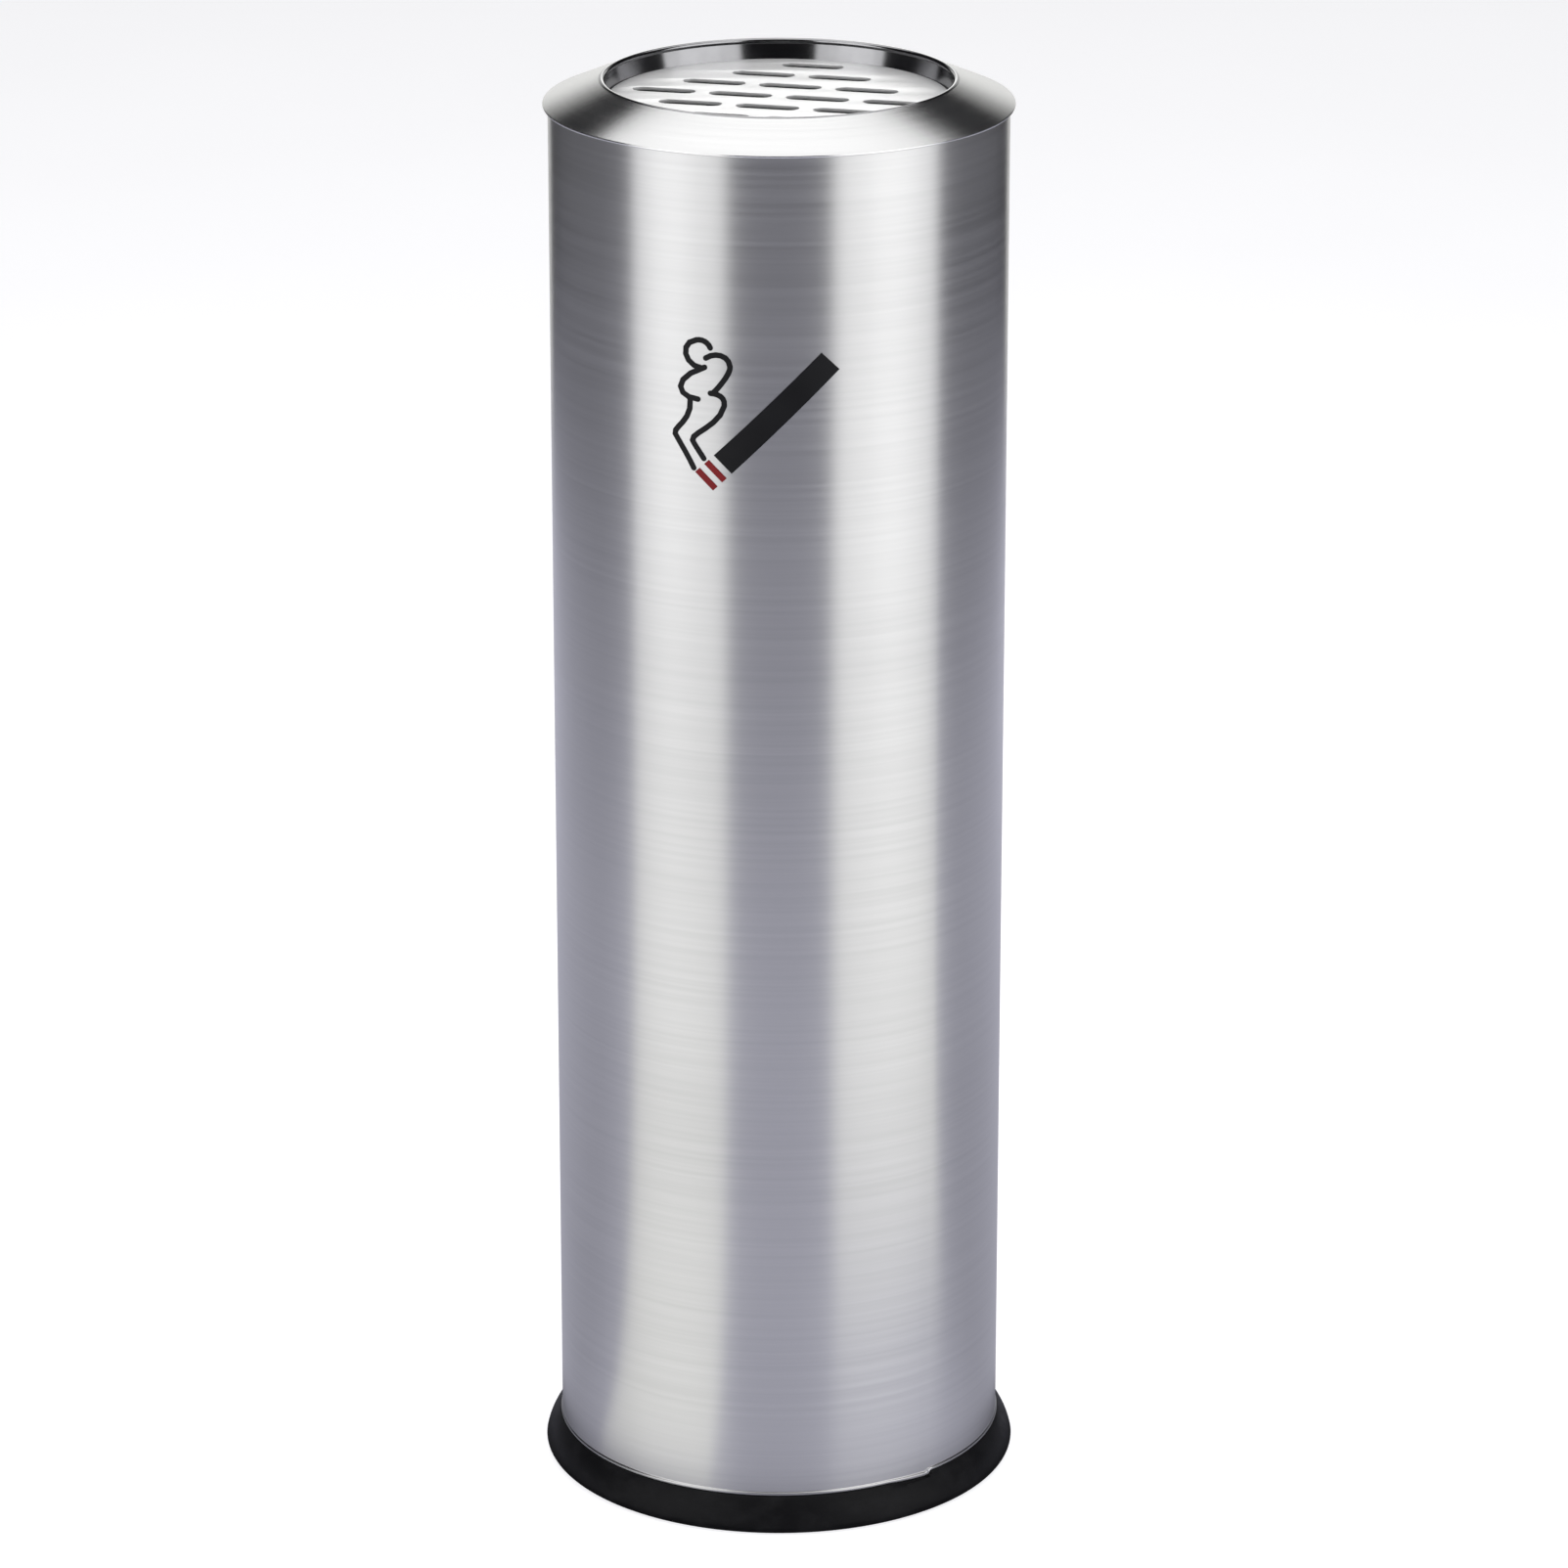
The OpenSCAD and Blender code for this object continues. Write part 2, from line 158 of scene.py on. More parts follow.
def stainless(name, cloud_hex, streak_hex, line_mm, rough, anisotropic, line_depth_mm):
    """Stainless sheet with fine lines round the axis. The lines are long across x and y and narrow along z,
    so they run round a body and a spun cone alike, and the highlights stretch across them. Broader streaks
    and a slow cloud in tone and gloss keep the sheet from looking even. Real lines are about 0.1 mm wide.
    They are drawn line_mm wide, as coarse as they need to be to show."""
    line_long_mm, streak_long_mm, cloud_mm, gloss_swing = 40, 160, 130, 0.02
    material, tree, place = new_material(name)
    line_place = add_node(
        tree, "ShaderNodeMapping",
        {"Vector": place, "Scale": per_metre(line_long_mm, line_long_mm, line_mm)},
    )
    lines = add_node(tree, "ShaderNodeTexNoise", {"Vector": line_place, "Scale": 1.0, "Detail": 1.0})
    streak_place = add_node(
        tree, "ShaderNodeMapping",
        {"Vector": place, "Scale": per_metre(streak_long_mm, streak_long_mm, 3 * line_mm)},
    )
    streaks = add_node(tree, "ShaderNodeTexNoise", {"Vector": streak_place, "Scale": 1.0, "Detail": 1.5})
    cloud = add_node(
        tree, "ShaderNodeTexNoise", {"Vector": place, "Scale": per_metre(cloud_mm)[0], "Detail": 2.0}
    )
    cloud_share = add_node(tree, "ShaderNodeMapRange", {"Value": cloud, "From Min": 0.3, "From Max": 0.7})
    streak_share = add_node(
        tree, "ShaderNodeMapRange", {"Value": streaks, "From Min": 0.25, "From Max": 0.75}
    )
    cloud_tone = add_node(
        tree, "ShaderNodeMix", {"Factor": cloud_share, MIX_A: cloud_hex[0], MIX_B: cloud_hex[1]},
        data_type="RGBA",
    )
    streak_tone = add_node(
        tree, "ShaderNodeMix", {"Factor": streak_share, MIX_A: streak_hex[0], MIX_B: streak_hex[1]},
        data_type="RGBA",
    )
    tone = add_node(
        tree, "ShaderNodeMix", {"Factor": 0.5, MIX_A: cloud_tone, MIX_B: streak_tone}, data_type="RGBA"
    )
    gloss = add_node(tree, "ShaderNodeMapRange", {
        "Value": streaks, "From Min": 0.3, "From Max": 0.7,
        "To Min": rough - gloss_swing, "To Max": rough + gloss_swing,
    })
    shader = add_node(tree, "ShaderNodeBsdfPrincipled", {
        "Base Color": tone,
        "Metallic": 1.0,
        "Roughness": gloss,
        "Anisotropic": anisotropic,
        "Anisotropic Rotation": 0.25,
        "Tangent": add_node(tree, "ShaderNodeTangent", direction_type="RADIAL", axis="Z"),
        "Normal": add_node(tree, "ShaderNodeBump", {"Height": lines, "Distance": line_depth_mm * MM}),
    })
    add_node(tree, "ShaderNodeOutputMaterial", {"Surface": shader})
    return material


def polished_stainless():
    """Polished collar: a clear mirror with the slight waves of spun sheet."""
    material, tree, place = new_material("polished_spun_stainless")
    wave = add_node(tree, "ShaderNodeTexNoise", {"Vector": place, "Scale": per_metre(30)[0], "Detail": 1.0})
    haze = add_node(tree, "ShaderNodeTexNoise", {"Vector": place, "Scale": per_metre(17)[0], "Detail": 3.0})
    share = add_node(tree, "ShaderNodeMapRange", {"Value": haze, "From Min": 0.3, "From Max": 0.7})
    tone = add_node(
        tree, "ShaderNodeMix", {"Factor": share, MIX_A: "#8e8e90", MIX_B: "#9c9c9e"}, data_type="RGBA"
    )
    gloss = add_node(
        tree, "ShaderNodeMapRange",
        {"Value": haze, "From Min": 0.3, "From Max": 0.7, "To Min": 0.11, "To Max": 0.15},
    )
    shader = add_node(tree, "ShaderNodeBsdfPrincipled", {
        "Base Color": tone,
        "Metallic": 1.0,
        "Roughness": gloss,
        "Normal": add_node(tree, "ShaderNodeBump", {"Height": wave, "Distance": 0.15 * MM, "Strength": 0.4}),
    })
    add_node(tree, "ShaderNodeOutputMaterial", {"Surface": shader})
    return material


def rolled_stainless():
    """Matt rolled sheet for the grate, with the fine even grain of a pickled surface. The grain is drawn at
    0.7 mm, coarser than the real one, so that it shows."""
    material, tree, place = new_material("matt_rolled_stainless")
    grain = add_node(tree, "ShaderNodeTexNoise", {"Vector": place, "Scale": per_metre(0.7)[0], "Detail": 2.0})
    roll_place = add_node(tree, "ShaderNodeMapping", {"Vector": place, "Scale": per_metre(25, 1.4, 25)})
    roll_lines = add_node(tree, "ShaderNodeTexNoise", {"Vector": roll_place, "Scale": 1.0, "Detail": 2.0})
    cloud = add_node(tree, "ShaderNodeTexNoise", {"Vector": place, "Scale": per_metre(40)[0], "Detail": 3.0})
    share = add_node(tree, "ShaderNodeMapRange", {"Value": cloud, "From Min": 0.3, "From Max": 0.7})
    tone = add_node(
        tree, "ShaderNodeMix", {"Factor": share, MIX_A: "#f0f0f1", MIX_B: "#f9f9f9"}, data_type="RGBA"
    )
    gloss = add_node(
        tree, "ShaderNodeMapRange",
        {"Value": roll_lines, "From Min": 0.3, "From Max": 0.7, "To Min": 0.37, "To Max": 0.45},
    )
    shader = add_node(tree, "ShaderNodeBsdfPrincipled", {
        "Base Color": tone,
        "Metallic": 0.6,
        "Roughness": gloss,
        "Normal": add_node(tree, "ShaderNodeBump", {"Height": grain, "Distance": 0.02 * MM}),
    })
    add_node(tree, "ShaderNodeOutputMaterial", {"Surface": shader})
    return material


def moulded_rubber():
    """Black moulded rubber: a fine mould grain, semi-matt, a little dust in the grain. The grain is drawn at
    0.7 mm, coarser than the real one, so that it shows."""
    material, tree, place = new_material("moulded_black_rubber")
    grain = add_node(tree, "ShaderNodeTexNoise", {"Vector": place, "Scale": per_metre(0.7)[0], "Detail": 2.0})
    dust_place = add_node(tree, "ShaderNodeMapping", {"Vector": place, "Scale": per_metre(14, 14, 9)})
    dust = add_node(
        tree, "ShaderNodeTexNoise", {"Vector": dust_place, "Scale": 1.0, "Detail": 4.0, "Roughness": 0.6}
    )
    share = add_node(tree, "ShaderNodeMapRange", {"Value": dust, "From Min": 0.45, "From Max": 0.8})
    tone = add_node(
        tree, "ShaderNodeMix", {"Factor": share, MIX_A: "#101012", MIX_B: "#1c1c1e"}, data_type="RGBA"
    )
    gloss = add_node(
        tree, "ShaderNodeMapRange",
        {"Value": dust, "From Min": 0.3, "From Max": 0.7, "To Min": 0.38, "To Max": 0.52},
    )
    shader = add_node(tree, "ShaderNodeBsdfPrincipled", {
        "Base Color": tone,
        "Roughness": gloss,
        "Specular IOR Level": 0.10,
        "Normal": add_node(tree, "ShaderNodeBump", {"Height": grain, "Distance": 0.05 * MM}),
    })
    add_node(tree, "ShaderNodeOutputMaterial", {"Surface": shader})
    return material


def galvanised_steel():
    """Hot-dip galvanised sheet: flat zinc crystals about 10 mm across, each with its own grey and gloss."""
    material, tree, place = new_material("hot_dip_galvanised_steel")
    drift = add_node(tree, "ShaderNodeTexNoise", {"Vector": place, "Scale": per_metre(11)[0], "Detail": 2.0})
    shift = add_node(
        tree, "ShaderNodeVectorMath", {0: drift.outputs["Color"], "Scale": 6 * MM}, operation="SCALE"
    )
    uneven = add_node(tree, "ShaderNodeVectorMath", {0: place, 1: shift}, operation="ADD")
    crystals = add_node(tree, "ShaderNodeTexVoronoi", {"Vector": uneven, "Scale": per_metre(10)[0]})
    shade = add_node(tree, "ShaderNodeSeparateColor", {"Color": crystals.outputs["Color"]})
    tone = add_node(
        tree, "ShaderNodeMix", {"Factor": shade.outputs["Red"], MIX_A: "#8b9297", MIX_B: "#bcc2c6"},
        data_type="RGBA",
    )
    gloss = add_node(
        tree, "ShaderNodeMapRange", {"Value": shade.outputs["Green"], "To Min": 0.32, "To Max": 0.55}
    )
    edges = add_node(
        tree, "ShaderNodeBump",
        {"Height": crystals.outputs["Distance"], "Distance": 0.08 * MM, "Strength": 0.4},
    )
    shader = add_node(tree, "ShaderNodeBsdfPrincipled", {
        "Base Color": tone, "Metallic": 0.9, "Roughness": gloss, "Normal": edges,
    })
    add_node(tree, "ShaderNodeOutputMaterial", {"Surface": shader})
    return material


def zinc_plated_steel():
    """Bright zinc plating over drawn wire and pressed heads, with the lines of the drawing die. They are
    drawn 1.1 mm wide, coarser than the real ones, so that they show."""
    material, tree, place = new_material("bright_zinc_plated_steel")
    drawn_place = add_node(tree, "ShaderNodeMapping", {"Vector": place, "Scale": per_metre(8, 1.1, 1.1)})
    drawn = add_node(tree, "ShaderNodeTexNoise", {"Vector": drawn_place, "Scale": 1.0, "Detail": 2.0})
    share = add_node(tree, "ShaderNodeMapRange", {"Value": drawn, "From Min": 0.3, "From Max": 0.7})
    tone = add_node(
        tree, "ShaderNodeMix", {"Factor": share, MIX_A: "#a7acb2", MIX_B: "#c9ccd0"}, data_type="RGBA"
    )
    gloss = add_node(
        tree, "ShaderNodeMapRange",
        {"Value": drawn, "From Min": 0.3, "From Max": 0.7, "To Min": 0.24, "To Max": 0.38},
    )
    shader = add_node(tree, "ShaderNodeBsdfPrincipled", {
        "Base Color": tone,
        "Metallic": 1.0,
        "Roughness": gloss,
        "Normal": add_node(tree, "ShaderNodeBump", {"Height": drawn, "Distance": 0.02 * MM}),
    })
    add_node(tree, "ShaderNodeOutputMaterial", {"Surface": shader})
    return material


def vinyl_film(name, dark_hex, light_hex):
    """Cut vinyl film: even colour, a soft gloss, and the slight texture of the brushed steel under it, at the
    same 0.6 mm as the body's lines."""
    material, tree, place = new_material(name)
    brush_place = add_node(tree, "ShaderNodeMapping", {"Vector": place, "Scale": per_metre(45, 45, 0.6)})
    brushed = add_node(tree, "ShaderNodeTexNoise", {"Vector": brush_place, "Scale": 1.0, "Detail": 2.0})
    haze = add_node(tree, "ShaderNodeTexNoise", {"Vector": place, "Scale": per_metre(20)[0], "Detail": 3.0})
    share = add_node(tree, "ShaderNodeMapRange", {"Value": haze, "From Min": 0.3, "From Max": 0.7})
    tone = add_node(
        tree, "ShaderNodeMix", {"Factor": share, MIX_A: dark_hex, MIX_B: light_hex}, data_type="RGBA"
    )
    gloss = add_node(
        tree, "ShaderNodeMapRange",
        {"Value": haze, "From Min": 0.3, "From Max": 0.7, "To Min": 0.42, "To Max": 0.55},
    )
    shader = add_node(tree, "ShaderNodeBsdfPrincipled", {
        "Base Color": tone,
        "Roughness": gloss,
        "Specular IOR Level": 0.16,
        "Normal": add_node(tree, "ShaderNodeBump", {"Height": brushed, "Distance": 0.03 * MM}),
    })
    add_node(tree, "ShaderNodeOutputMaterial", {"Surface": shader})
    return material


BODY_STEEL = stainless(
    "brushed_stainless_sheet", ("#b1b1b1", "#bebebe"), ("#afafaf", "#c0c0c0"), line_mm=0.6, rough=0.315,
    anisotropic=0.72, line_depth_mm=0.006,
)
CONE_STEEL = stainless(
    "spun_satin_stainless", ("#cacaca", "#d6d6d6"), ("#c6c6c6", "#d8d8d8"), line_mm=0.3, rough=0.24,
    anisotropic=0.75, line_depth_mm=0.004,
)
COLLAR_STEEL = polished_stainless()
GRATE_STEEL = rolled_stainless()
RUBBER = moulded_rubber()
GALVANISED = galvanised_steel()
ZINC = zinc_plated_steel()
BLACK_FILM = vinyl_film("black_vinyl_film", "#08080a", "#0f0f12")
RED_FILM = vinyl_film("red_vinyl_film", "#6c0c13", "#7c1118")


# ---------------------------------------------------------------- mesh tools

def finish_piece(obj, material, body, replaced=(), sharp_deg=35):
    """Material, shading, body and the CAD nodes that the piece stands for."""
    obj.data.materials.clear()
    obj.data.materials.append(material)
    obj.data.polygons.foreach_set("use_smooth", [True] * len(obj.data.polygons))
    obj.data.set_sharp_from_angle(angle=math.radians(sharp_deg))
    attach(obj, body)
    if replaced:
        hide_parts(*replaced)
    return obj


def link_mesh(name, mesh):
    obj = bpy.data.objects.new(name, mesh)
    bpy.context.scene.collection.objects.link(obj)
    return obj


def rounded(corners, steps=6):
    """Closed outline with rounded corners. Each corner is (r, z, radius)."""
    points = []
    count = len(corners)
    for i, (r, z, radius) in enumerate(corners):
        here = Vector((r, z))
        if radius <= 0:
            points.append(here)
            continue
        to_last = (Vector(corners[i - 1][:2]) - here).normalized()
        to_next = (Vector(corners[(i + 1) % count][:2]) - here).normalized()
        half = to_last.angle(to_next) / 2
        back = radius / math.tan(half)
        centre = here + (to_last + to_next).normalized() * radius / math.sin(half)
        start = here + to_last * back - centre
        end = here + to_next * back - centre
        turn = math.atan2(start.x * end.y - start.y * end.x, start.dot(end))
        for k in range(steps + 1):
            a = turn * k / steps
            points.append(centre + Vector((
                start.x * math.cos(a) - start.y * math.sin(a),
                start.x * math.sin(a) + start.y * math.cos(a),
            )))
    return points


def bulged(start, end, bulge, steps=10):
    """Points of an arc between two (r, z) points, bulging to the right of the way from start to end."""
    a, b = Vector(start), Vector(end)
    half = (b - a).length / 2
    radius = (half * half + bulge * bulge) / (2 * bulge)
    along = (b - a).normalized()
    side = Vector((along.y, -along.x))
    centre = (a + b) / 2 - side * (radius - bulge)
    sweep = math.asin(half / radius)
    angles = [sweep * (2 * k / steps - 1) for k in range(steps + 1)]
    return [centre + radius * (along * math.sin(t) + side * math.cos(t)) for t in angles]


def lathe(name, outline, segments=256):
    """Turns a closed (r, z) outline round the bin's axis."""
    mesh = bpy.data.meshes.new(name)
    build = bmesh.new()
    rings = []
    for s in range(segments):
        a = 2 * math.pi * s / segments
        ring = [build.verts.new((p[0] * math.cos(a), p[0] * math.sin(a), p[1])) for p in outline]
        rings.append(ring)
    for s in range(segments):
        here, after = rings[s], rings[(s + 1) % segments]
        for k in range(len(outline)):
            n = (k + 1) % len(outline)
            build.faces.new((here[k], after[k], after[n], here[n]))
    bmesh.ops.remove_doubles(build, verts=build.verts, dist=1e-7)
    bmesh.ops.recalc_face_normals(build, faces=build.faces)
    build.to_mesh(mesh)
    build.free()
    return link_mesh(name, mesh)


def dip_at(x, y):
    """How far the body's lower edge hangs below the rest, 0 to 1, at a place round the bin."""
    turn = (SEAM_ANGLE - math.atan2(y, x)) / DIP_ANGLE
    return max(0.0, 1 - turn) if turn >= 0 else 0.0


# ---------------------------------------------------------------- body

def make_body():
    """Rolled shell: eased top edge, rolled hem, and the hem's corner hanging lower at the seam."""
    inner = SHELL_R - SHELL_T
    bend_h, dip = 6 * HEM_R, SEAM_DIP - 0.1 * MM
    outline = rounded([
        (inner, SHOULDER_Z, 0.25 * MM),
        (SHELL_R + HEM_R, SHOULDER_Z, 0.5 * MM),
        (SHELL_R + HEM_R, SHOULDER_Z + 2 * HEM_R, 0.55 * MM),
        (SHELL_R, SHOULDER_Z + 2.6 * HEM_R, 0.5 * MM),
        (SHELL_R, SHELL_TOP, 0.3 * MM),
        (inner, SHELL_TOP, 0.3 * MM),
    ])
    body = lathe("body_sheet", outline, segments=360)
    for vertex in body.data.vertices:
        x, y, z = vertex.co
        share = max(0.0, 1 - (z - SHOULDER_Z) / bend_h)
        vertex.co.z -= dip_at(x, y) * min(1.0, share) * dip
    finish_piece(body, BODY_STEEL, "housing", ["body_shell"])


def make_base_ring():
    """Moulded ring: a flared, slightly bulged flank, a rounded toe, and a plug inside the body."""
    flange_r, flange_z, plate_z = SHELL_R - 15 * MM, 3 * MM, 8 * MM
    foot_r, plug_r = SHELL_R - 2 * MM, SHELL_R - SHELL_T - 0.05 * MM
    plug_in = plug_r - 2.5 * MM
    shelf_z = SHOULDER_Z - 0.05 * MM
    toe, near_r = 3.2 * MM, SHELL_R + 1.8 * MM
    shoulder = (SHELL_R + 1 * MM, SHOULDER_Z - 0.3 * MM)
    low = rounded([(foot_r, FLOOR_Z, 0.5 * MM), (RING_R, FLOOR_Z, toe), (RING_R, 3 * toe, 0)], steps=10)[:-1]
    flank = bulged((RING_R, toe), shoulder, 0.9 * MM, steps=14)[1:]
    inside = rounded([
        (shoulder[0] - 0.3 * MM, shelf_z, 0),
        (plug_r, shelf_z, 0),
        (plug_r, RING_TOP, 0.6 * MM),
        (plug_in, RING_TOP, 0.6 * MM),
        (plug_in, plate_z, 0),
        (flange_r, plate_z, 0.5 * MM),
        (flange_r, flange_z, 0.5 * MM),
        (foot_r, flange_z, 0),
    ])
    ring = lathe("moulded_base_ring", [*low, *flank, *inside], segments=360)
    for vertex in ring.data.vertices:
        x, y, z = vertex.co
        if math.hypot(x, y) < near_r and SHOULDER_Z - 1.5 * MM < z < SHOULDER_Z + 0.1 * MM:
            vertex.co.z -= dip_at(x, y) * (SEAM_DIP + 0.05 * MM)
    finish_piece(ring, RUBBER, "housing", ["base_ring"], sharp_deg=50)


# ---------------------------------------------------------------- lid

def make_lid_cone():
    """Spun cone with a small rolled rim, turned under to the flat hem that sits on the body."""
    edge_r, edge_h, sheet_t = 0.42 * MM, 0.9 * MM, 1.0 * MM
    slope = (CONE_TOP - RIM_Z - edge_h) / (RIM_R - COLLAR_OUT_R)
    drop = sheet_t * math.sqrt(1 + slope * slope)
    hem_in = SHELL_R - 3.8 * MM
    hem_top = RIM_Z + 0.8 * MM
    hem_out = RIM_R - (hem_top - (RIM_Z + edge_h - drop)) / slope
    outline = rounded([
        (RIM_R, RIM_Z, edge_r),
        (RIM_R, RIM_Z + edge_h, edge_r),
        (COLLAR_OUT_R, CONE_TOP, 0),
        (COLLAR_OUT_R, CONE_TOP - drop, 0),
        (hem_out, hem_top, 0),
        (hem_in, hem_top, 0.2 * MM),
        (hem_in, RIM_Z, 0.2 * MM),
    ])
    cone = lathe("spun_lid_cone", outline, segments=360)
    finish_piece(cone, CONE_STEEL, "lid", ["lid_cone"])


def make_lid_collar():
    """Polished collar: a rolled lip that overhangs a wall with a little draft, and the grate's ledge."""
    bead_z = TOP_Z - BEAD_R
    wall_t, ledge_w, overhang = 0.8 * MM, 5 * MM, 0.8 * MM
    wall_r, neck_z = LIP_R + overhang, CONE_TOP - 1.9 * MM
    bead_step_deg = 9
    bead = [
        (BEAD_C + BEAD_R * math.cos(a), bead_z + BEAD_R * math.sin(a))
        for a in [math.radians(180 - bead_step_deg * k) for k in range(16)]
    ]
    outline = [
        *[Vector(p) for p in bead if p[0] <= COLLAR_OUT_R],
        Vector((COLLAR_OUT_R, CONE_TOP - 1.05 * MM)),
        Vector((wall_r + wall_t, neck_z)),
        *rounded([
            (wall_r + wall_t - 0.3 * MM, CONE_TOP - 4 * MM, 0),
            (COLLAR_FOOT_R + wall_t, COLLAR_LOW, 0.6 * MM),
            (COLLAR_FOOT_R - ledge_w, COLLAR_LOW, 0.25 * MM),
            (COLLAR_FOOT_R - ledge_w, COLLAR_LOW + wall_t, 0.25 * MM),
            (COLLAR_FOOT_R, COLLAR_LOW + wall_t, 0.1 * MM),
            (wall_r, neck_z, 0),
        ]),
    ]
    collar = lathe("polished_collar", outline, segments=360)
    finish_piece(collar, COLLAR_STEEL, "lid", ["lid_collar"])


def slot_loop(centre, length, width, turn, steps=8):
    """Points round one slot with round ends."""
    points = []
    for end in (1, -1):
        for k in range(steps + 1):
            a = math.radians(-90 + 180 * k / steps) + (0 if end > 0 else math.pi)
            points.append(Vector((
                end * (length - width) / 2 + width / 2 * math.cos(a),
                width / 2 * math.sin(a),
            )))
    c, s = math.cos(turn), math.sin(turn)
    return [Vector((centre.x + p.x * c - p.y * s, centre.y + p.x * s + p.y * c)) for p in points]


def make_grate():
    """Slotted plate with eased edges, cut like the CAD grate: rows of 1-2-3-4-3-2-1 slots on a slant."""
    slot_l, slot_w, pitch, row_gap, longest = 26.5 * MM, 8 * MM, 32.5 * MM, 19.4 * MM, 4
    turn = math.radians(-14)
    ease, rim_steps = 0.15 * MM, 180
    curve = bpy.data.curves.new("grate_outline", "CURVE")
    curve.dimensions = "2D"
    curve.fill_mode = "BOTH"
    curve.extrude = (GRATE_TOP - GRATE_LOW) / 2 - ease
    curve.bevel_depth = ease
    curve.bevel_resolution = 2
    curve.offset = -ease
    rim = [
        Vector((GRATE_R * math.cos(a), GRATE_R * math.sin(a)))
        for a in [2 * math.pi * k / rim_steps for k in range(rim_steps)]
    ]
    loops = [rim]
    for row in range(1 - longest, longest):
        count = longest - abs(row)
        for i in range(count):
            along, across = (i - (count - 1) / 2) * pitch, row * row_gap
            centre = Vector((
                along * math.cos(turn) - across * math.sin(turn),
                along * math.sin(turn) + across * math.cos(turn),
            ))
            loops.append(slot_loop(centre, slot_l, slot_w, turn))
    for loop in loops:
        spline = curve.splines.new("POLY")
        spline.points.add(len(loop) - 1)
        for point, place in zip(spline.points, loop):
            point.co = (place.x, place.y, 0, 1)
        spline.use_cyclic_u = True
    drawn = link_mesh("grate_drawn", curve)
    depsgraph = bpy.context.evaluated_depsgraph_get()
    mesh = bpy.data.meshes.new_from_object(drawn.evaluated_get(depsgraph))
    bpy.data.objects.remove(drawn)
    build = bmesh.new()
    build.from_mesh(mesh)
    bmesh.ops.remove_doubles(build, verts=build.verts, dist=1e-6)
    bmesh.ops.recalc_face_normals(build, faces=build.faces)
    for vertex in build.verts:
        vertex.co.z += (GRATE_LOW + GRATE_TOP) / 2
    build.to_mesh(mesh)
    build.free()
    grate = link_mesh("slotted_grate", mesh)
    finish_piece(grate, GRATE_STEEL, "grate", ["grate"], sharp_deg=40)


# ---------------------------------------------------------------- bucket

def make_bucket():
    """Galvanised wall with two swaged beads for stiffness and a curled rim round its wire."""
    inner = BUCKET_R - BUCKET_T
    outer_side, inner_side = [], []
    swage, swage_h, swage_steps = 0.9 * MM, 9 * MM, 12
    swage_heights = (0.28, 0.72)  # as shares of the wall's height
    for share in swage_heights:
        middle = BUCKET_LOW + share * (CURL_Z - BUCKET_LOW)
        for k in range(swage_steps + 1):
            t = k / swage_steps - 0.5
            rise = swage * 0.5 * (1 + math.cos(2 * math.pi * t))
            outer_side.append(Vector((BUCKET_R + rise, middle + t * swage_h)))
            inner_side.append(Vector((inner + rise, middle + t * swage_h)))
    curl_c = CURL_OUT_R - CURL_R
    start, sweep, curl_steps = math.radians(150), math.radians(300), 24
    turns = [start - sweep * k / curl_steps for k in range(curl_steps + 1)]
    outer_curl = [Vector((curl_c + CURL_R * math.cos(a), CURL_Z + CURL_R * math.sin(a))) for a in turns]
    core = CURL_R - BUCKET_T
    inner_curl = [Vector((curl_c + core * math.cos(a), CURL_Z + core * math.sin(a))) for a in turns]
    outline = [
        Vector((inner, BUCKET_LOW)),
        Vector((BUCKET_R, BUCKET_LOW)),
        *outer_side,
        Vector((BUCKET_R, CURL_Z - 1.2 * CURL_R)),
        Vector((BUCKET_R + 0.25 * MM, CURL_Z)),
        *inner_curl,
        *reversed(outer_curl),
        Vector((inner, CURL_Z - 0.6 * MM)),
        *reversed(inner_side),
    ]
    wall = lathe("galvanised_bucket", outline, segments=256)
    finish_piece(wall, GALVANISED, "bucket", ["bucket_wall"], sharp_deg=50)


def dome(build, place, outline, segments=32, lobes=None):
    """Adds a turned head to a mesh. The outline runs from the rim to the middle as (radius, height), and
    place puts a local point in the bin's frame. From ring number lobes on, the rings have four lobes."""
    rings = []
    for k, (r, h) in enumerate(outline):
        ring = []
        for s in range(segments):
            a = 2 * math.pi * s / segments
            reach = r * (0.55 + 0.45 * math.cos(2 * a) ** 2) if lobes is not None and k >= lobes else r
            ring.append(build.verts.new(place(Vector((reach * math.cos(a), reach * math.sin(a), h)))))
        rings.append(ring)
    for here, after in zip(rings, rings[1:]):
        for s in range(segments):
            n = (s + 1) % segments
            build.faces.new((here[s], here[n], after[n], after[s]))
    build.faces.new(rings[-1])
    build.faces.new(list(reversed(rings[0])))


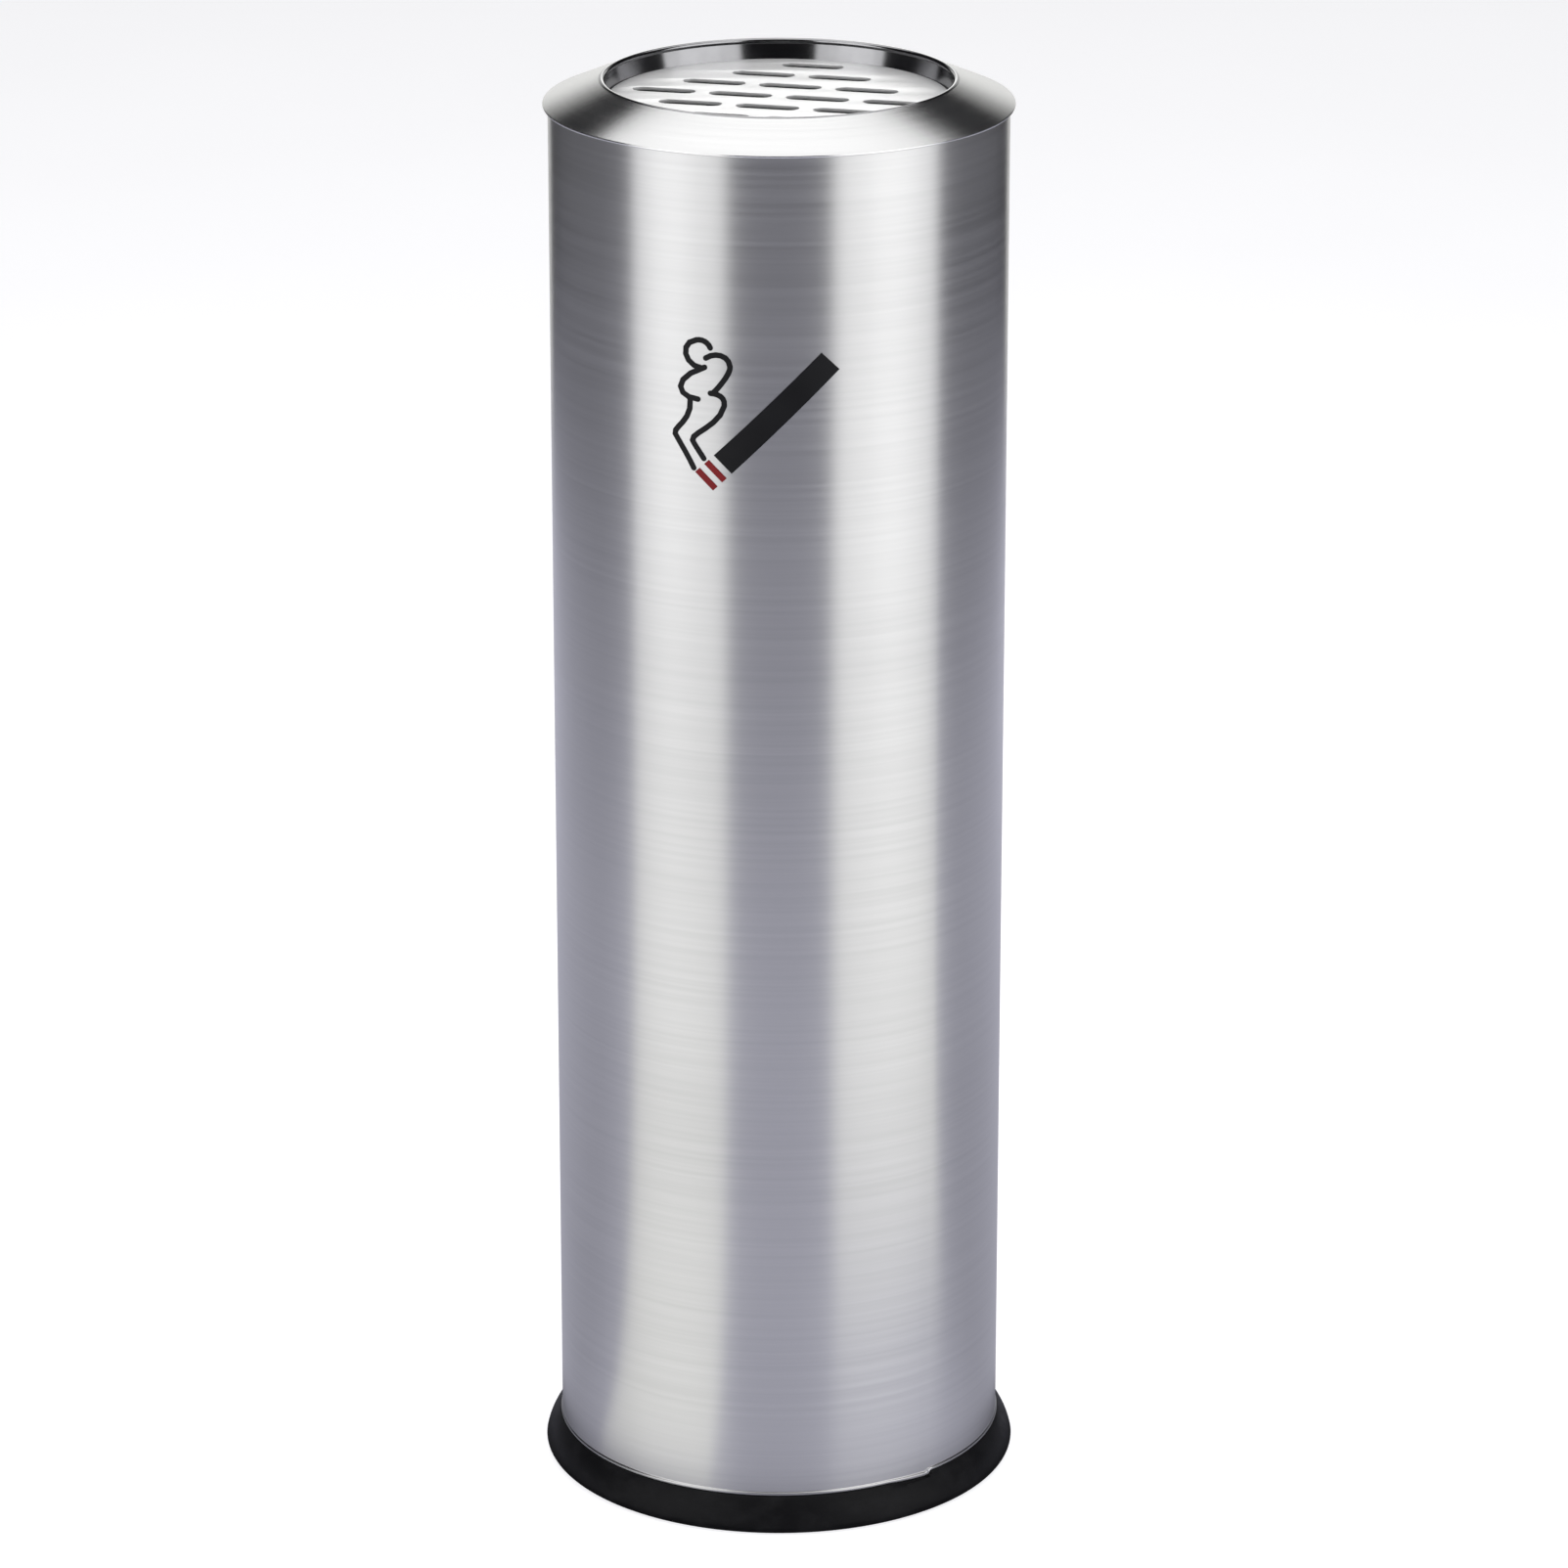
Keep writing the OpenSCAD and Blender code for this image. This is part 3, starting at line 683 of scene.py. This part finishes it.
def make_screws(count=6):
    """Pan-head screws with a cross recess, heads down in the ring's hollow. The head's outline has the edge
    of its recess twice, once round and once with the lobes of the cross."""
    low, high = node_low("base_screws").z, node_high("base_screws").z
    head_r, head_h, shank_r = 3.6 * MM, 2.0 * MM, 2.0 * MM
    screw_circle_r = SHELL_R - 6.8 * MM
    build = bmesh.new()
    for i in range(count):
        a = 2 * math.pi * (i + 0.5) / count
        centre = Vector((screw_circle_r * math.cos(a), screw_circle_r * math.sin(a), low + head_h))
        head = [
            (head_r, 0), (head_r, 0.7 * MM), (0.94 * head_r, 1.25 * MM), (0.8 * head_r, 1.65 * MM),
            (0.6 * head_r, 1.9 * MM), (0.5 * head_r, 1.98 * MM), (0.5 * head_r, 1.98 * MM),
            (0.25 * head_r, 0.9 * MM),
        ]
        dome(build, lambda p, c=centre: c + Vector((p.x, p.y, -p.z)), head, 32, lobes=6)
        shank = [(shank_r, 0), (shank_r, high - centre.z - 0.8 * MM), (0.55 * shank_r, high - centre.z)]
        dome(build, lambda p, c=centre: c + p, shank, 24)
    bmesh.ops.recalc_face_normals(build, faces=build.faces)
    mesh = bpy.data.meshes.new("pan_head_screws")
    build.to_mesh(mesh)
    build.free()
    finish_piece(link_mesh("pan_head_screws", mesh), ZINC, "housing", ["base_screws"])


def make_rivets():
    """Domed rivets through each ear and the wall, with their heads on both sides."""
    low, high = node_low("ear_rivets"), node_high("ear_rivets")
    head_r, head_h = 3.6 * MM, 1.4 * MM
    spread_y = high.y - head_r
    z = (low.z + high.z) / 2
    ear_t, sag = 1.6 * MM, 0.6 * MM
    inside, outside = BUCKET_R - BUCKET_T - ear_t - sag, BUCKET_R
    build = bmesh.new()
    step_deg = 12
    outline = [
        (head_r * math.cos(t), head_h * math.sin(t)) for t in [math.radians(step_deg * k) for k in range(8)]
    ]
    for side in (-1, 1):
        for y in (-spread_y, spread_y):
            dome(build, lambda p, x=side, y=y: Vector((x * (outside + p.z), y + p.y, z + p.x)), outline)
            dome(build, lambda p, x=side, y=y: Vector((x * (inside - p.z), y + p.y, z + p.x)), outline)
    bmesh.ops.recalc_face_normals(build, faces=build.faces)
    mesh = bpy.data.meshes.new("domed_rivets")
    build.to_mesh(mesh)
    build.free()
    finish_piece(link_mesh("domed_rivets", mesh), ZINC, "bucket", ["ear_rivets"])


def make_base_plate():
    """Galvanised disc with two pressed rings that stop it drumming."""
    low, high = node_low("base_plate").z, node_high("base_plate").z
    edge = outer_radius("base_plate")
    press_w, press_h, press_steps = 9 * MM, 1.3 * MM, 12
    top, under = [(0, high)], [(0, low)]
    for middle in (0.35 * edge, 0.72 * edge):
        for k in range(press_steps + 1):
            t = k / press_steps - 0.5
            rise = press_h * 0.5 * (1 + math.cos(2 * math.pi * t))
            top.append((middle + t * press_w, high + rise))
            under.append((middle + t * press_w, low + rise))
    outline = [*under, *rounded([(edge, low, 0.2 * MM), (edge, high, 0.2 * MM), (0.9 * edge, high, 0)])[:-1]]
    outline += list(reversed(top))
    plate = lathe("pressed_base_plate", outline, segments=192)
    finish_piece(plate, GALVANISED, "housing", ["base_plate"], sharp_deg=50)


def carry_over(node, material):
    """A CAD node whose shape is right keeps its mesh and takes its material here."""
    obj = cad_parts[node]
    obj.data.materials.clear()
    obj.data.materials.append(material)


make_body()
make_base_ring()
make_lid_cone()
make_lid_collar()
make_grate()
make_bucket()
make_screws()
make_rivets()
make_base_plate()
for node, material in (
    ("top_hoop", CONE_STEEL), ("lid_spigot", CONE_STEEL),
    ("pictogram_bar", BLACK_FILM), ("pictogram_smoke", BLACK_FILM), ("pictogram_ember", RED_FILM),
    ("bucket_bottom", GALVANISED), ("bucket_foot", GALVANISED), ("rim_wire", ZINC),
    ("bail_ear_left", GALVANISED), ("bail_ear_right", GALVANISED), ("bail_wire", ZINC),
):
    carry_over(node, material)


# ---------------------------------------------------------------- floor, light and camera

def emission_card(name, mesh, strength, colour="#fffffd"):
    """A studio card that only reflections see. Its strength is a number, or a function that takes the tree
    and the place on the card and gives the node that works the strength out."""
    material, tree, place = new_material(name)
    if callable(strength):
        strength = strength(tree, place)
    glow = add_node(tree, "ShaderNodeEmission", {"Color": colour, "Strength": strength})
    add_node(tree, "ShaderNodeOutputMaterial", {"Surface": glow})
    mesh.materials.append(material)
    card = link_mesh(name, mesh)
    card.visible_camera = False
    card.visible_diffuse = False
    card.visible_shadow = False
    card.visible_transmission = False
    return card


def flat_sector(name, low_r, high_r, low_deg, high_deg, z, steps=48):
    """A flat piece of ring on the floor. Degrees run to the right from the front."""
    mesh = bpy.data.meshes.new(name)
    build = bmesh.new()
    rows = []
    for k in range(steps + 1):
        a = math.radians(low_deg + (high_deg - low_deg) * k / steps)
        rows.append([build.verts.new((r * math.sin(a), -r * math.cos(a), z)) for r in (low_r, high_r)])
    for here, after in zip(rows, rows[1:]):
        build.faces.new((here[0], here[1], after[1], after[0]))
    bmesh.ops.recalc_face_normals(build, faces=build.faces)
    build.to_mesh(mesh)
    build.free()
    return mesh


def upright_sector(name, radius, low_deg, high_deg, low, high, steps=24):
    """A curved wall round the bin. Degrees run to the right from the front."""
    mesh = bpy.data.meshes.new(name)
    build = bmesh.new()
    rows = []
    for k in range(steps + 1):
        a = math.radians(low_deg + (high_deg - low_deg) * k / steps)
        x, y = radius * math.sin(a), -radius * math.cos(a)
        rows.append([build.verts.new((x, y, z)) for z in (low, high)])
    for here, after in zip(rows, rows[1:]):
        build.faces.new((here[0], here[1], after[1], after[0]))
    build.to_mesh(mesh)
    build.free()
    return mesh


def make_floor():
    """Plain pale floor, large enough to fill the frame from any side. It glows a little, so it stays even."""
    cloud_mm, floor_r, gap = 330, 14, 0.2 * MM
    material, tree, place = new_material("pale_studio_floor")
    cloud = add_node(
        tree, "ShaderNodeTexNoise", {"Vector": place, "Scale": per_metre(cloud_mm)[0], "Detail": 2.0}
    )
    tone = add_node(
        tree, "ShaderNodeMix", {"Factor": cloud, MIX_A: "#b6b6b8", MIX_B: "#c1c1c3"}, data_type="RGBA"
    )
    shader = add_node(tree, "ShaderNodeBsdfPrincipled", {
        "Base Color": tone,
        "Roughness": 0.9,
        "Specular IOR Level": 0.1,
        "Emission Color": "#fafafc",
        "Emission Strength": 0.82,
    })
    add_node(tree, "ShaderNodeOutputMaterial", {"Surface": shader})
    mesh = bpy.data.meshes.new("studio_floor")
    build = bmesh.new()
    bmesh.ops.create_circle(build, cap_ends=True, segments=96, radius=floor_r)
    build.to_mesh(mesh)
    build.free()
    floor = link_mesh("studio_floor", mesh)
    floor.location.z = FLOOR_Z - gap
    mesh.materials.append(material)


def fading_floor(tree, place):
    """Strength of the floor as the metal sees it: shaded at the foot, pale near the bin, dark further out,
    and darker behind the bin than in front."""
    reach = add_node(tree, "ShaderNodeVectorMath", {0: place}, operation="LENGTH")
    toward = add_node(tree, "ShaderNodeVectorMath", {0: place}, operation="NORMALIZE")
    back = add_node(tree, "ShaderNodeSeparateXYZ", {"Vector": toward}).outputs["Y"]
    strength = 1.0
    for value, start, end, low, high in (
        (reach, 0.10, 0.15, 0.05, 1.0),  # the bin's own shade at its foot
        (reach, 0.3, 1.5, 0.95, 1.35),  # paler with distance
        (reach, 1.6, 2.15, 1.0, 0.02),  # the end of the lit floor
        (back, -0.45, 0.25, 1.0, 0.72),  # darker behind
    ):
        change = add_node(
            tree, "ShaderNodeMapRange",
            {"Value": value, "From Min": start, "From Max": end, "To Min": low, "To Max": high},
            interpolation_type="SMOOTHSTEP",
        )
        strength = add_node(tree, "ShaderNodeMath", {0: strength, 1: change}, operation="MULTIPLY")
    return strength


def fading_wall(tree, place):
    """Strength of the wall behind: dimmer towards its top."""
    height = add_node(tree, "ShaderNodeSeparateXYZ", {"Vector": place}).outputs["Z"]
    fade_from, fade_to, full, dim = 0.75, 1.35, 0.95, 0.25
    return add_node(
        tree, "ShaderNodeMapRange",
        {"Value": height, "From Min": fade_from, "From Max": fade_to, "To Min": full, "To Max": dim},
        interpolation_type="SMOOTHSTEP",
    )


def add_softbox(name, azimuth, distance, low, high, width, power, shape="RECTANGLE"):
    """Upright soft light that faces the bin. Azimuth is in degrees, to the right of the front."""
    light = bpy.data.lights.new(name, "AREA")
    light.shape = shape
    light.size, light.size_y = width, high - low
    light.energy = power
    obj = bpy.data.objects.new(name, light)
    bpy.context.scene.collection.objects.link(obj)
    a = math.radians(azimuth)
    obj.location = (distance * math.sin(a), -distance * math.cos(a), (low + high) / 2)
    toward = Vector((-math.sin(a), math.cos(a), 0))
    obj.rotation_euler = toward.to_track_quat("-Z", "Y").to_euler()
    obj.visible_camera = False
    return obj


def make_cards():
    """The floor and the wall as the steel sees them, a bright patch on each side, and a strip behind."""
    emission_card(
        "floor_card",
        flat_sector("floor_card", low_r=0.0, high_r=6.0, low_deg=-180, high_deg=180, z=0.5 * MM, steps=96),
        fading_floor, "#e9e9fa",
    )
    emission_card(
        "left_card",
        flat_sector("left_card", low_r=0.14, high_r=1.62, low_deg=-75, high_deg=-25, z=1 * MM),
        strength=1.4,
    )
    emission_card(
        "right_card",
        flat_sector("right_card", low_r=0.40, high_r=1.62, low_deg=26, high_deg=83, z=1 * MM),
        strength=1.5,
    )
    emission_card(
        "back_card",
        upright_sector("back_card", radius=1.8, low_deg=155, high_deg=205, low=0, high=1.35),
        fading_wall,
    )
    emission_card(
        "back_strip",
        upright_sector("back_strip", radius=1.75, low_deg=173.5, high_deg=186.5, low=0.62, high=2.4),
        strength=1.7,
    )


def make_lights():
    """A wide soft bank on each side, each with a small brighter core, and a soft top."""
    add_softbox("left_bank", azimuth=-50, distance=1.7, low=0.0, high=2.5, width=1.58, power=18.5)
    add_softbox(
        "left_core", azimuth=-54, distance=1.66, low=0.1, high=2.3, width=0.8, power=1.5, shape="ELLIPSE"
    )
    add_softbox("right_bank", azimuth=54.5, distance=1.7, low=0.0, high=2.5, width=1.85, power=23.5)
    add_softbox(
        "right_core", azimuth=56, distance=1.66, low=0.1, high=2.3, width=0.9, power=1.5, shape="ELLIPSE"
    )
    top_size, top_power, top_place, top_turn_deg = 3.0, 44, (0, 0.4, 2.6), -12
    top = bpy.data.lights.new("top_bank", "AREA")
    top.shape = "RECTANGLE"
    top.size, top.size_y = top_size, top_size
    top.energy = top_power
    obj = bpy.data.objects.new("top_bank", top)
    bpy.context.scene.collection.objects.link(obj)
    obj.location = top_place
    obj.rotation_euler.z = math.radians(top_turn_deg)
    obj.visible_camera = False


def make_world():
    """A pale backdrop for the camera, and next to no light from it on the bin."""
    world = bpy.data.worlds.new("studio")
    bpy.context.scene.world = world
    world.use_nodes = True
    tree = world.node_tree
    tree.nodes.clear()
    path = add_node(tree, "ShaderNodeLightPath")
    seen = add_node(tree, "ShaderNodeBackground", {"Color": "#f4f4f6", "Strength": 1.0})
    lit = add_node(tree, "ShaderNodeBackground", {"Color": "#e6e6f4", "Strength": 0.02})
    mixed = add_node(tree, "ShaderNodeMixShader", {0: path.outputs["Is Camera Ray"], 1: lit, 2: seen})
    add_node(tree, "ShaderNodeOutputWorld", {"Surface": mixed})


def make_camera():
    """Long lens, above the bin and looking down at it. The small shift sets the bin left of the middle."""
    distance, height, pitch_deg, lens_mm, side_shift = 2.6, 1.2, 19.03, 148.5, 0.0032
    data = bpy.data.cameras.new("camera")
    data.sensor_width = 36
    data.lens = lens_mm
    data.shift_x = side_shift
    camera = bpy.data.objects.new("camera", data)
    bpy.context.scene.collection.objects.link(camera)
    camera.location = (CENTRE.x, CENTRE.y - distance, FLOOR_Z + height)
    camera.rotation_euler = (math.radians(90 - pitch_deg), 0, 0)
    bpy.context.scene.camera = camera


make_floor()
make_cards()
make_lights()
make_world()
make_camera()
bpy.context.scene.view_settings.view_transform = "Standard"
